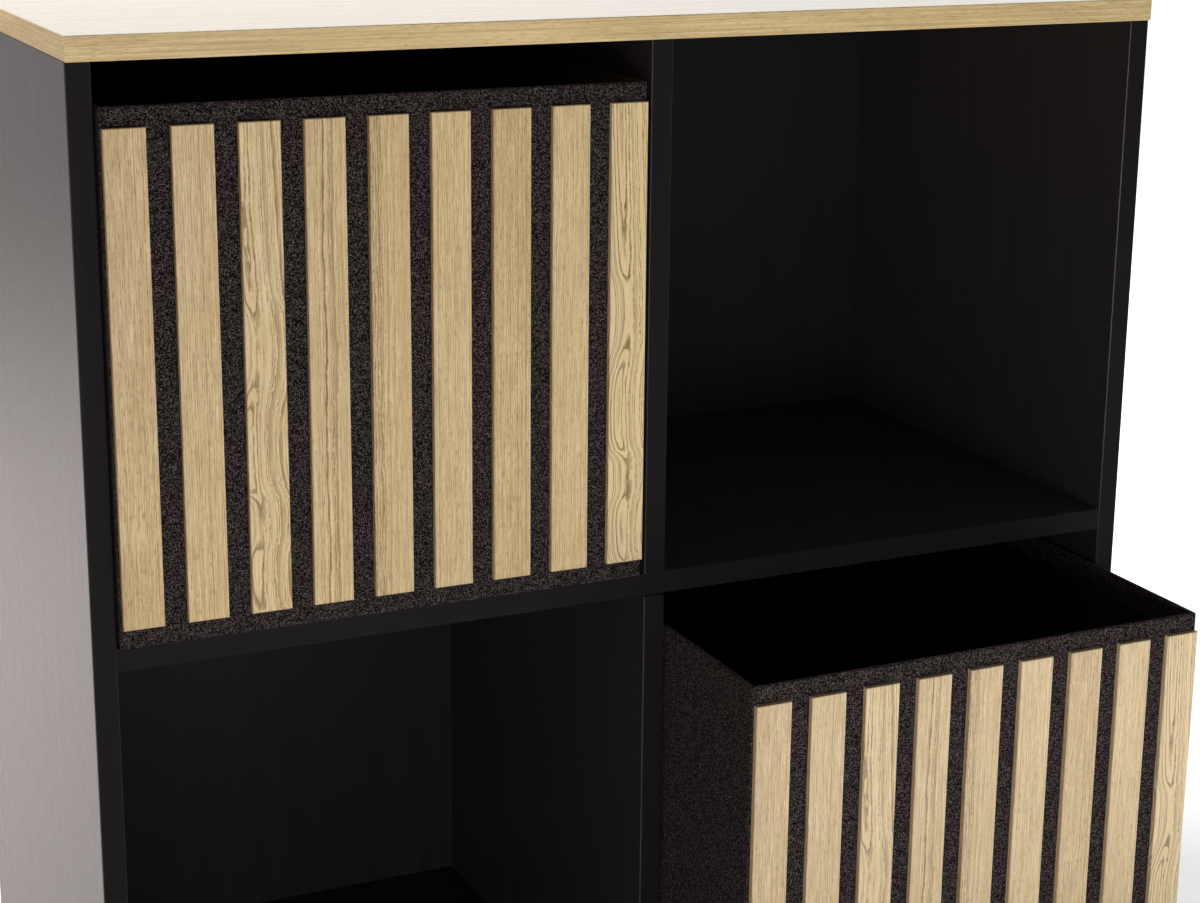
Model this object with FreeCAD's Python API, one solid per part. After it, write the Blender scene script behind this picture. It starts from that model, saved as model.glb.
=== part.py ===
import FreeCAD, Part
import os

from FreeCAD import Vector

# A storage unit of four open cubes, two of which hold a fabric bin with a front of oak slats.
# Millimetres. +Z is up, +X is to the right and +Y runs from the front to the back.
# The origin is the middle of the bottom panel's underside. The felt floor pads stand below it.

# Carcass
cube_width = 354.0  # clear width of one cube
cube_height = 353.0  # clear height of one cube
cube_depth = 354.0  # from the front edges to the back panel
panel_thickness = 15.0
top_thickness = 15.0
top_overhang = 2.0  # the top stands this far in front of the other panels
front_edge_radius = 1.0  # on the upright front edges
top_edge_bevel = 0.5
head_relief_height = 1.2  # the shadow notch at the front of the lower divider's head
head_relief_depth = 4.0

# Back panel, in grooves all round
back_thickness = 3.0
groove_depth = 6.0
groove_play = 0.2  # behind the back panel
back_edge_play = 1.0  # between the back panel's edges and the bottom of the grooves
rear_margin = 9.8  # carcass behind the grooves

# Fluted dowels
dowel_radius = 4.0
dowel_length = 30.0
dowel_flutes = 12
dowel_inset = 40.0  # from the front and the back of a joint to its dowels
end_play = 0.5  # between a fixing's end and the bottom of its bore
bore_play = 0.05  # round a fixing, on the radius
face_skin = 4.0  # left between the bottom of a bore and a panel's far face

# Cam fittings, which pull the shelf and the bottom against the sides
cam_radius = 7.35
cam_bore_radius = 7.5
cam_setback = 24.0  # from the joint to the cam's axis
cam_above_bolt = 4.5  # the cam's height above the bolt's axis
cam_chamber_radius = 5.3
cam_chamber_height = 7.0
cam_throw = 0.3  # how far the chamber is off the cam's axis, which makes the cam pull
cam_turn = 120.0  # degrees that the cam turns from its mouth to where it grips
cam_slot_lead = 28.0  # degrees that the slot runs on past the bolt
cam_slot_height = 4.2
cam_mouth_width = 6.6
cam_drive_length = 7.0
cam_drive_width = 1.6
cam_drive_depth = 2.4
bolt_radius = 2.5
bolt_bore_radius = 3.5
bolt_neck_radius = 1.8
bolt_head_radius = 2.8
bolt_head_length = 3.6
bolt_head_play = 0.3  # between the bolt's head and the chamber's wall

# Screws up through the shelf into the foot of the upper divider
screw_length = 50.0
screw_radius = 2.5
screw_head_radius = 4.8
screw_head_height = 2.4
screw_inset = 90.0  # from the front and the back of the divider
head_sink = 0.2  # depth of a head below the shelf's underside

# Felt pads, stuck under the sides
pad_height = 3.0
pad_length = 40.0
pad_margin = 1.0  # between a pad and the faces of its side panel
pad_inset = 10.0  # from the front and the back

# Bins
bin_side_clearance = 3.0  # on each side of a bin in its cube
bin_headroom = 25.5  # open gap over a bin, where the hand goes in
bin_rear_clearance = 7.6
bin_proud = 3.6  # how far a closed bin stands in front of the panels
bin_floor_clearance = 0.3
bin_corner_radius = 1.4
cloth_thickness = 0.5
board_thickness = 2.4
board_play = 0.3  # between the boards of a bin, where it folds
hem_depth = 20.0  # cover turned in over the rim
upper_bin_shift = -1.25  # off the middle of its cube, to the right
lower_bin_shift = 0.2
lower_bin_pull = 115.7  # how far the lower bin is drawn out

# Slats, glued to the front of a bin
slat_count = 9
slat_width = 25.2
slat_thickness = 4.0
slat_bevel = 0.4
slat_side_margin = 1.4  # from the side of the bin to its first slat
slat_top_margin = 12.3
slat_bottom_margin = 12.8

# Places that follow from the sizes above
inner_half = cube_width + panel_thickness / 2
half_width = inner_half + panel_thickness
carcass_depth = cube_depth + back_thickness + groove_play + rear_margin
front = -carcass_depth / 2
rear = carcass_depth / 2
back_face = front + cube_depth
shelf_underside = panel_thickness + cube_height
shelf_top = shelf_underside + panel_thickness
side_height = shelf_top + cube_height
cube_middle = (cube_width + panel_thickness) / 2
face_bore = panel_thickness - face_skin
top_face_bore = top_thickness - face_skin

bin_width = cube_width - 2 * bin_side_clearance
bin_depth = cube_depth + bin_proud - bin_rear_clearance
bin_height = cube_height - bin_headroom - bin_floor_clearance
bin_wall = 2 * cloth_thickness + board_thickness
slat_pitch = (bin_width - 2 * slat_side_margin - slat_width) / (slat_count - 1)

X_AXIS = Vector(1, 0, 0)
Z_AXIS = Vector(0, 0, 1)
LEFT = -1
RIGHT = 1


def block(x0, x1, y0, y1, z0, z1):
    """A box between two opposite corners."""
    return Part.makeBox(x1 - x0, y1 - y0, z1 - z0, Vector(x0, y0, z0))


def turned(profile):
    """A solid of revolution about X from (x, radius) points, the first and last on the axis."""
    points = [Vector(x, radius, 0) for x, radius in profile]
    face = Part.Face(Part.makePolygon(points + points[:1]))
    return face.revolve(Vector(0, 0, 0), X_AXIS, 360)


def aimed(shape, point, direction):
    """A copy of a shape drawn along +X from the origin, moved to a point and turned to a direction."""
    copy = shape.copy()
    copy.Placement = FreeCAD.Placement(point, FreeCAD.Rotation(X_AXIS, direction))
    return copy


def bored(panel, bores):
    """The panel with every bore that reaches it cut out."""
    near = [bore for bore in bores if bore.BoundBox.intersect(panel.BoundBox)]
    return panel.cut(near) if near else panel


def ends_of(inset):
    """The two rows that lie the same way in from the front and the back of a joint."""
    return front + inset, back_face - inset


def side_joints(rows, height):
    """Joints of a level panel with both sides, at a height and at each of the rows."""
    left = [(Vector(-inner_half, y, height), X_AXIS) for y in rows]
    right = [(Vector(inner_half, y, height), -X_AXIS) for y in rows]
    return left + right


def end_joints(columns, height):
    """Dowel joints of upright panels that end at a level panel above them."""
    return [(Vector(x, y, height), -Z_AXIS) for x in columns for y in ends_of(dowel_inset)]


# Each joint is a point on the joint's plane and the direction into the panel bored in its edge.
side_middle = half_width - panel_thickness / 2
shelf_level = shelf_underside + panel_thickness / 2
bottom_level = panel_thickness / 2
dowel_rows = ends_of(dowel_inset)
cam_rows = [(front + back_face) / 2]  # one, midway between the dowels
top_dowel_joints = end_joints((-side_middle, 0, side_middle), side_height)
shelf_dowel_joints = side_joints(dowel_rows, shelf_level)
bottom_dowel_joints = side_joints(dowel_rows, bottom_level)
divider_head_joints = end_joints([0], shelf_underside)
divider_foot_joints = [(Vector(0, y, panel_thickness), Z_AXIS) for y in ends_of(dowel_inset)]
lower_divider_joints = divider_head_joints + divider_foot_joints
shelf_cam_joints = side_joints(cam_rows, shelf_level)
bottom_cam_joints = side_joints(cam_rows, bottom_level)
screw_places = [Vector(0, y, shelf_underside) for y in ends_of(screw_inset)]


def fluted(radius, start, length):
    """A few-sided rod along +X, for a dowel or, a little larger, for its bore."""
    corner = Vector(start, radius, 0)
    turns = [FreeCAD.Rotation(X_AXIS, 360 * step / dowel_flutes) for step in range(dowel_flutes)]
    corners = [turn.multVec(corner) for turn in turns]
    outline = Part.makePolygon(corners + corners[:1])
    return Part.Face(outline).extrude(X_AXIS * length)


def dowels(joints, face_depth):
    """The dowels of a list of joints, each with one end in a face bore of the given depth."""
    dowel = fluted(dowel_radius, end_play - face_depth, dowel_length)
    return [aimed(dowel, point, direction) for point, direction in joints]


def dowel_bores(joints, face_depth):
    """One straight bore through both panels at each dowel joint."""
    bore = fluted(dowel_radius + bore_play, -face_depth, dowel_length + 2 * end_play)
    return [aimed(bore, point, direction) for point, direction in joints]


def cam():
    """A cam whose bolt comes along +X from the joint at the origin. Its drive face is underneath."""
    axis = Vector(cam_setback, 0, 0)
    foot = axis - Z_AXIS * panel_thickness / 2
    body = Part.makeCylinder(cam_radius, panel_thickness / 2 + cam_above_bolt, foot)
    chamber_foot = axis + Vector(cam_throw, 0, -cam_chamber_height / 2)
    chamber = Part.makeCylinder(cam_chamber_radius, cam_chamber_height, chamber_foot)
    slot_foot = axis - Z_AXIS * cam_slot_height / 2
    slot_sweep = cam_slot_lead + cam_turn
    slot = Part.makeCylinder(cam_bore_radius, cam_slot_height, slot_foot, Z_AXIS, slot_sweep)
    slot.rotate(axis, Z_AXIS, 180 - cam_slot_lead)
    mouth = Part.makeBox(cam_bore_radius, cam_mouth_width, cam_mouth_width)
    mouth.translate(axis - Vector(0, cam_mouth_width / 2, cam_mouth_width / 2))
    mouth.rotate(axis, Z_AXIS, 180 + cam_turn)
    drive = Part.makeBox(cam_drive_length, cam_drive_width, cam_drive_depth)
    drive.translate(foot - Vector(cam_drive_length / 2, cam_drive_width / 2, 0))
    cross_drive = drive.copy()
    cross_drive.rotate(axis, Z_AXIS, 90)
    return body.cut([chamber, slot, mouth, drive, cross_drive])


def cam_bolt():
    """A bolt screwed into a side panel, with its head held in the cam."""
    start = end_play - face_bore
    shank_end = cam_setback - cam_bore_radius
    # The head's rim meets the round wall of the chamber before its middle does.
    wall = (cam_chamber_radius**2 - bolt_head_radius**2) ** 0.5
    head_start = cam_setback + cam_throw - wall + bolt_head_play
    head_end = head_start + bolt_head_length
    return turned(
        [
            (start, 0),
            (start, bolt_radius),
            (shank_end, bolt_radius),
            (shank_end, bolt_neck_radius),
            (head_start, bolt_neck_radius),
            (head_start, bolt_head_radius),
            (head_end, bolt_head_radius),
            (head_end, 0),
        ]
    )


def cam_pieces(piece, joints):
    """A copy of a cam, bolt or bore at each joint, half turned at the right side."""
    placed = []
    for point, direction in joints:
        copy = piece.copy()
        if direction.x < 0:
            copy.rotate(Vector(0, 0, 0), Z_AXIS, 180)
        copy.translate(point)
        placed.append(copy)
    return placed


def cam_bores(joints):
    """At each cam joint: the bolt's bore in the side, its bore in the edge, and the cam's seat."""
    thread = Part.makeCylinder(bolt_radius + bore_play, face_bore, Vector(-face_bore, 0, 0), X_AXIS)
    edge = Part.makeCylinder(bolt_bore_radius, cam_setback, Vector(0, 0, 0), X_AXIS)
    seat_foot = Vector(cam_setback, 0, -panel_thickness / 2)
    seat_depth = panel_thickness / 2 + cam_above_bolt + end_play
    seat = Part.makeCylinder(cam_bore_radius, seat_depth, seat_foot)
    return [bore for shape in (thread, edge, seat) for bore in cam_pieces(shape, joints)]


def divider_screw():
    """A countersunk screw along +X from the face that it enters."""
    return turned(
        [
            (head_sink, 0),
            (head_sink, screw_head_radius),
            (head_sink + screw_head_height, screw_radius),
            (screw_length, screw_radius),
            (screw_length, 0),
        ]
    )


def divider_screw_bore():
    """The countersunk bore round a divider screw. Its cone runs on out to the face."""
    slope = (screw_head_radius - screw_radius) / screw_head_height
    shank = screw_radius + bore_play
    return turned(
        [
            (0, 0),
            (0, shank + slope * (head_sink + screw_head_height)),
            (head_sink + screw_head_height, shank),
            (screw_length + end_play, shank),
            (screw_length + end_play, 0),
        ]
    )


def felt_pads():
    """The felt pads under the four lower corners of the sides."""
    half = panel_thickness / 2 - pad_margin
    starts = (front + pad_inset, rear - pad_inset - pad_length)
    return [
        block(x - half, x + half, y, y + pad_length, -pad_height, 0)
        for x in (-side_middle, side_middle)
        for y in starts
    ]


def all_bores():
    """Every bore in the carcass."""
    edge_joints = shelf_dowel_joints + bottom_dowel_joints + lower_divider_joints
    bores = dowel_bores(top_dowel_joints, top_face_bore)
    bores += dowel_bores(edge_joints, face_bore)
    bores += cam_bores(shelf_cam_joints + bottom_cam_joints)
    bores += [aimed(divider_screw_bore(), place, Z_AXIS) for place in screw_places]
    return bores


def back_groove():
    """The slot that the grooves of the sides, the top and the bottom make together."""
    reach = inner_half + groove_depth
    low = panel_thickness - groove_depth
    high = side_height + groove_depth
    return block(-reach, reach, back_face, back_face + back_thickness + groove_play, low, high)


def eased_uprights(panel):
    """The panel with its upright front edges rounded."""
    edges = [
        edge
        for edge in panel.Edges
        if edge.BoundBox.ZLength > panel_thickness and edge.BoundBox.YMax < front + front_edge_radius
    ]
    return panel.makeFillet(front_edge_radius, edges)


def side_panel(side):
    """A side, from the floor to the top's underside."""
    inner, outer = side * inner_half, side * half_width
    return block(min(inner, outer), max(inner, outer), front, rear, 0, side_height)


def divider(low, high):
    """A divider between two level panels, in front of the back panel."""
    half = panel_thickness / 2
    return block(-half, half, front, back_face, low, high)


def lower_divider():
    """The divider under the shelf. Its front edge band ends just short of the shelf."""
    half, relief_end = panel_thickness / 2, front + head_relief_depth
    relief_foot = shelf_underside - head_relief_height
    relief = block(-half, half, front, relief_end, relief_foot, shelf_underside)
    return eased_uprights(divider(panel_thickness, shelf_underside)).cut(relief)


def top_panel():
    """The top, which lies over the sides. The edges of its two faces are bevelled."""
    height = side_height + top_thickness
    slab = block(-half_width, half_width, front - top_overhang, rear, side_height, height)
    edges = [edge for edge in slab.Edges if edge.BoundBox.ZLength < top_thickness / 2]
    return slab.makeChamfer(top_edge_bevel, edges)


def back_panel():
    """The back, one sheet that stands in the grooves."""
    reach = inner_half + groove_depth - back_edge_play
    low = panel_thickness - groove_depth + back_edge_play
    high = side_height + groove_depth - back_edge_play
    return block(-reach, reach, back_face, back_face + back_thickness, low, high)


def carcass():
    """The panels of the carcass by name."""
    bores = all_bores()
    groove = back_groove()
    level = (-inner_half, inner_half, front)
    grooved = {
        "left_side": eased_uprights(side_panel(LEFT)),
        "right_side": eased_uprights(side_panel(RIGHT)),
        "top_panel": top_panel(),
        "bottom_panel": block(*level, rear, 0, panel_thickness),
    }
    plain = {
        "middle_shelf": block(*level, back_face, shelf_underside, shelf_top),
        "upper_divider": eased_uprights(divider(shelf_top, side_height)),
        "lower_divider": lower_divider(),
        "back_panel": back_panel(),
    }
    panels = {name: panel.cut(groove) for name, panel in grooved.items()} | plain
    return {name: bored(panel, bores) for name, panel in panels.items()}


def fixings():
    """The dowels, cams, bolts, screws and floor pads by name."""
    return {
        "top_dowels": dowels(top_dowel_joints, top_face_bore),
        "shelf_dowels": dowels(shelf_dowel_joints, face_bore),
        "bottom_dowels": dowels(bottom_dowel_joints, face_bore),
        "lower_divider_dowels": dowels(lower_divider_joints, face_bore),
        "shelf_cams": cam_pieces(cam(), shelf_cam_joints),
        "shelf_cam_bolts": cam_pieces(cam_bolt(), shelf_cam_joints),
        "bottom_cams": cam_pieces(cam(), bottom_cam_joints),
        "bottom_cam_bolts": cam_pieces(cam_bolt(), bottom_cam_joints),
        "upper_divider_screws": [aimed(divider_screw(), place, Z_AXIS) for place in screw_places],
        "floor_pads": felt_pads(),
    }


# A bin is drawn with the middle of its lower front edge at the origin.


def bin_block(inset, low, high):
    """An upright block of the bin's outline drawn in by an inset, with its corners rounded."""
    half = bin_width / 2 - inset
    shape = block(-half, half, inset, bin_depth - inset, low, high)
    radius = bin_corner_radius - inset
    if radius <= 0:
        return shape
    uprights = [edge for edge in shape.Edges if edge.BoundBox.ZLength > bin_height / 2]
    return shape.makeFillet(radius, uprights)


def bin_cover():
    """The outer cloth: four walls and a floor, turned in over the rim as a hem."""
    rim = bin_height - cloth_thickness
    hem_end = bin_height - hem_depth
    hem_face = cloth_thickness + board_thickness
    skin = bin_block(0, 0, bin_height).cut(bin_block(cloth_thickness, cloth_thickness, rim))
    hem = bin_block(hem_face, hem_end, bin_height).cut(bin_block(bin_wall, hem_end, bin_height))
    return skin.cut(bin_block(bin_wall, hem_end, bin_height)).fuse(hem).removeSplitter()


def bin_lining():
    """The inner cloth, which lies on the base board and reaches up to the hem."""
    outside = cloth_thickness + board_thickness
    high = bin_height - hem_depth
    return bin_block(outside, outside, high).cut(bin_block(bin_wall, bin_wall, high))


def bin_boards():
    """The boards that stiffen the cloth: four walls and a loose base."""
    near, far = cloth_thickness, cloth_thickness + board_thickness
    low, high = cloth_thickness, bin_height - cloth_thickness
    across = bin_width / 2 - bin_corner_radius
    along = far + board_play
    side_near, side_far = bin_width / 2 - near, bin_width / 2 - far
    base = side_far - board_play
    return {
        "front_board": block(-across, across, near, far, low, high),
        "back_board": block(-across, across, bin_depth - far, bin_depth - near, low, high),
        "left_board": block(-side_near, -side_far, along, bin_depth - along, low, high),
        "right_board": block(side_far, side_near, along, bin_depth - along, low, high),
        "base_board": block(-base, base, along, bin_depth - along, low, far),
    }


def slat(number):
    """One slat of the front, counted from the left. The edges round its face are bevelled."""
    left = slat_side_margin - bin_width / 2 + (number - 1) * slat_pitch
    low, high = slat_bottom_margin, bin_height - slat_top_margin
    shape = block(left, left + slat_width, -slat_thickness, 0, low, high)
    edges = [edge for edge in shape.Edges if edge.BoundBox.YMax < -slat_thickness / 2]
    return shape.makeChamfer(slat_bevel, edges)


def slatted_bin(name, corner):
    """The pieces of one bin by name, with the bin's own origin moved to a corner point."""
    pieces = {"cover": bin_cover(), "lining": bin_lining()} | bin_boards()
    pieces |= {f"slat_{number}": slat(number) for number in range(1, slat_count + 1)}
    for piece in pieces.values():
        piece.translate(corner)
    return {f"{name}_{piece}": shape for piece, shape in pieces.items()}


closed_front = front - bin_proud
upper_corner = Vector(upper_bin_shift - cube_middle, closed_front, shelf_top + bin_floor_clearance)
lower_corner = Vector(
    lower_bin_shift + cube_middle,
    closed_front - lower_bin_pull,
    panel_thickness + bin_floor_clearance,
)

os.makedirs("parts", exist_ok=True)
nodes = {name: [panel] for name, panel in carcass().items()}
nodes |= fixings()
for bin_name, bin_corner in (("upper_bin", upper_corner), ("lower_bin", lower_corner)):
    bin_pieces = slatted_bin(bin_name, bin_corner)
    nodes |= {name: [shape] for name, shape in bin_pieces.items()}
for node_name, shapes in nodes.items():
    solids = [solid for shape in shapes for solid in shape.Solids]
    Part.makeCompound(solids).exportStep(f"parts/{node_name}.step")
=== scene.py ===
import math

import bpy
import numpy as np
from mathutils import Matrix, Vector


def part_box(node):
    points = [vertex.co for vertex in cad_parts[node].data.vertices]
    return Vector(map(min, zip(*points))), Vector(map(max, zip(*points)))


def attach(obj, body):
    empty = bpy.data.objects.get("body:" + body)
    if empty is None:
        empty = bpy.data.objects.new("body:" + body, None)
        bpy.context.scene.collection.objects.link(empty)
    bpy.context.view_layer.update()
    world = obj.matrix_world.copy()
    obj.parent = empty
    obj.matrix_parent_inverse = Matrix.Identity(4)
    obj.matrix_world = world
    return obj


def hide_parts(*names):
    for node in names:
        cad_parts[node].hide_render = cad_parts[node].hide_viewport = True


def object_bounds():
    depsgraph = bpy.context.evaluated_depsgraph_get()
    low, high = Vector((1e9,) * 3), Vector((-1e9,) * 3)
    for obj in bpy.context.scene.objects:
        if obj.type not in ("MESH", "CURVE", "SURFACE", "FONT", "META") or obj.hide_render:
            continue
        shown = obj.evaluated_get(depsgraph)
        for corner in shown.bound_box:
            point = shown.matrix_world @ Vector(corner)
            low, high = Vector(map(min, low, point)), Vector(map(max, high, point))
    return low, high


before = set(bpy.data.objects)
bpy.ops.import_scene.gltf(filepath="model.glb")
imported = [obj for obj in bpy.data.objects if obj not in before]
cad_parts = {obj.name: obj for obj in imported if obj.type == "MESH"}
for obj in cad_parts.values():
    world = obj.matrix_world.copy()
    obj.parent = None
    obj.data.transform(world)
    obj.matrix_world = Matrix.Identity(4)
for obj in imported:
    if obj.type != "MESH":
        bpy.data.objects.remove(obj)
cad_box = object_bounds()


# The two sides, the bottom, the shelf and the dividers.
# Particle board in black wood-grain foil, with the long grain upright on what stands and
# left to right on what lies. Dowels and cams hold them to each other.


def fill(tree, node, inputs):
    """A node with each of these inputs set to a value or wired to a socket."""
    for key, value in inputs.items():
        if isinstance(value, bpy.types.NodeSocket):
            tree.links.new(value, node.inputs[key])
        else:
            node.inputs[key].default_value = value
    return node


def add(tree, kind, inputs=None, **settings):
    """A new shader node with its settings and its inputs."""
    node = tree.nodes.new("ShaderNode" + kind)
    for name, value in settings.items():
        setattr(node, name, value)
    return fill(tree, node, inputs or {})


def calc(tree, operation, *values, clamp=False):
    """The result of a Math node on sockets or numbers."""
    inputs = dict(enumerate(values))
    return add(tree, "Math", inputs, operation=operation, use_clamp=clamp).outputs[0]


def between(tree, value, low, high, start=0.0, end=1.0):
    """A value carried from the span low..high to start..end, and held at its ends."""
    inputs = {"Value": value, "From Min": low, "From Max": high, "To Min": start, "To Max": end}
    return add(tree, "MapRange", inputs).outputs[0]


def blended(tree, amount, first, second):
    """Two colours mixed by an amount."""
    return add(tree, "Mix", {0: amount, 6: first, 7: second}, data_type="RGBA").outputs[2]


def own_place(tree):
    """Places on a piece in the piece's own coordinates."""
    return add(tree, "TexCoord").outputs["Object"]


def axis(tree, place, letter):
    """One of the three coordinates of a place."""
    return add(tree, "SeparateXYZ", {0: place}).outputs[letter]


def joined(tree, x, y, z):
    """A place made from three coordinates."""
    return add(tree, "CombineXYZ", {0: x, 1: y, 2: z}).outputs[0]


def noise(tree, place, stretch, offset=0.0, detail=2.0, roughness=0.5):
    """Noise on a place whose three axes are each stretched by their own number of waves a metre."""
    shift = (offset, 1.7 * offset, 0.6 * offset)
    inputs = {"Vector": place, "Scale": stretch, "Location": shift}
    moved = add(tree, "Mapping", inputs).outputs[0]
    inputs = {"Vector": moved, "Scale": 1.0, "Detail": detail, "Roughness": roughness}
    return add(tree, "TexNoise", inputs).outputs[0]


def effect(name, inputs, outputs):
    """An empty group of shader nodes with named inputs and outputs."""
    tree = bpy.data.node_groups.new(name, "ShaderNodeTree")
    for label, value in inputs.items():
        kind = "NodeSocketVector" if value is None else "NodeSocketFloat"
        socket = tree.interface.new_socket(label, in_out="INPUT", socket_type=kind)
        if value is not None:
            socket.default_value = value
    for label in outputs:
        tree.interface.new_socket(label, in_out="OUTPUT", socket_type="NodeSocketFloat")
    return tree, tree.nodes.new("NodeGroupInput").outputs, tree.nodes.new("NodeGroupOutput").inputs


def put(tree, group, inputs):
    """A group placed in a material with its own values."""
    node = tree.nodes.new("ShaderNodeGroup")
    node.node_tree = group
    return fill(tree, node, inputs).outputs


def material(name, **constants):
    """A new material with its Principled shader, whose plain values are set on its sockets."""
    mat = bpy.data.materials.new(name)
    mat.use_nodes = True
    shader = mat.node_tree.nodes["Principled BSDF"]
    for key, value in constants.items():
        shader.inputs[key.replace("_", " ")].default_value = value
    return mat, mat.node_tree, shader.inputs


def bumped(tree, height, distance, strength=1.0):
    """A bump normal from a height."""
    return add(tree, "Bump", {"Height": height, "Distance": distance, "Strength": strength}).outputs[0]


def wood_grain():
    """Grain of a board cut from a log. The rings are circles about the pith, so the radius is the
    square root of (across - pith)^2 + depth^2. Where the depth changes along the board, the rings
    close into arches and islands. They waver, are unevenly wide, each has its own strength, and
    they are boldest in a band along the board. Streaks run along it, and pores are short."""
    values = {
        "Place": None,
        "Pith Across": 0.06,
        "Pith Depth": 0.02,
        "Ring Width": 0.0012,
        "Line Width": 0.4,
        "Bold Across": 0.0,
        "Bold Width": 1.0,
        "Waver": 0.0006,
        "Seed": 0.0,
    }
    tree, given, made = effect("Wood grain", values, ("Rings", "Streaks", "Pores", "Cloud"))
    seeded = joined(tree, given["Seed"], given["Seed"], given["Seed"])
    place = add(tree, "VectorMath", {0: given["Place"], 1: seeded}, operation="ADD").outputs[0]
    across, deep, along = add(tree, "SeparateXYZ", {0: given["Place"]}).outputs
    streaks = noise(tree, place, (1050, 1050, 36), 1.3, 3.0, 0.7)
    slow = noise(tree, place, (34, 34, 13), 3.1, 2.0)
    quick = noise(tree, place, (420, 420, 75), 7.7, 3.0, 0.7)
    slow_share, quick_share = 3.0, 1.8
    waver = calc(tree, "MULTIPLY_ADD", slow, slow_share, calc(tree, "MULTIPLY", quick, quick_share))
    mean = (slow_share + quick_share) / 2
    waver = calc(tree, "MULTIPLY", calc(tree, "SUBTRACT", waver, mean), given["Waver"])
    depth = calc(tree, "ADD", given["Pith Depth"], calc(tree, "ADD", deep, waver))
    offset = calc(tree, "SUBTRACT", calc(tree, "ADD", across, waver), given["Pith Across"])
    squares = calc(tree, "MULTIPLY_ADD", offset, offset, calc(tree, "MULTIPLY", depth, depth))
    radius = calc(tree, "DIVIDE", calc(tree, "SQRT", squares), given["Ring Width"])
    year = calc(tree, "ADD", calc(tree, "MULTIPLY", radius, 0.7), given["Seed"])
    inputs = {"W": year, "Scale": 1.0, "Detail": 0.0}
    uneven = add(tree, "TexNoise", inputs, noise_dimensions="1D").outputs[0]
    rings = calc(tree, "MULTIPLY_ADD", uneven, 1.1, radius)
    count = calc(tree, "FLOOR", rings)
    strength = add(tree, "TexWhiteNoise", {"W": count}, noise_dimensions="1D").outputs["Value"]
    part = calc(tree, "FRACT", rings)
    line = calc(tree, "SUBTRACT", 1.0, calc(tree, "DIVIDE", part, given["Line Width"]), clamp=True)
    line = calc(tree, "MAXIMUM", calc(tree, "POWER", line, 0.6), between(tree, part, 0.92, 1.0))
    far = calc(tree, "SUBTRACT", across, given["Bold Across"])
    far = calc(tree, "DIVIDE", far, given["Bold Width"])
    bold = calc(tree, "EXPONENT", calc(tree, "MULTIPLY", calc(tree, "MULTIPLY", far, far), -1.0))
    ring = calc(tree, "MULTIPLY", line, between(tree, bold, 0, 1, 0.2, 1.0))
    ring = calc(tree, "MULTIPLY", ring, between(tree, strength, 0, 1, 0.35, 1))
    ring = calc(tree, "MULTIPLY", ring, between(tree, streaks, 0.36, 0.5, 0.6, 1.0))
    tree.links.new(ring, made["Rings"])
    tree.links.new(between(tree, streaks, 0.38, 0.64), made["Streaks"])
    pores = noise(tree, place, (1500, 1500, 170), 5.3, 2.0, 0.6)
    crowded = calc(tree, "MULTIPLY_ADD", ring, 0.08, pores)
    tree.links.new(between(tree, crowded, 0.55, 0.66), made["Pores"])
    tree.links.new(noise(tree, place, (60, 60, 12), 9.1, 4.0, 0.6), made["Cloud"])
    return tree


WOOD_GRAIN = wood_grain()


def along_grain(tree, centre, across, depth, length):
    """Places on a piece from its centre, with the axes in the order across, deep, along."""
    inputs = {"Vector": own_place(tree), "Location": [-value for value in centre]}
    axes = add(tree, "SeparateXYZ", {0: add(tree, "Mapping", inputs).outputs[0]}).outputs
    return joined(tree, axes[across], axes[depth], axes[length])


def middle_of(node):
    """The centre of a CAD node's box."""
    low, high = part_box(node)
    return [(a + b) / 2 for a, b in zip(low, high)]


def dress(node, mat):
    """Gives a CAD node one material."""
    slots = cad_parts[node].data.materials
    slots.clear()
    slots.append(mat)


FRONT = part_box("left_side")[0][1]
EDGE_BAND = (0.0077, 0.0063, 0.0066, 1)
# How far behind the front the band's colour starts to give way to the foil's, and has done so.
BAND_FADES = (0.00002, 0.0002)


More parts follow.
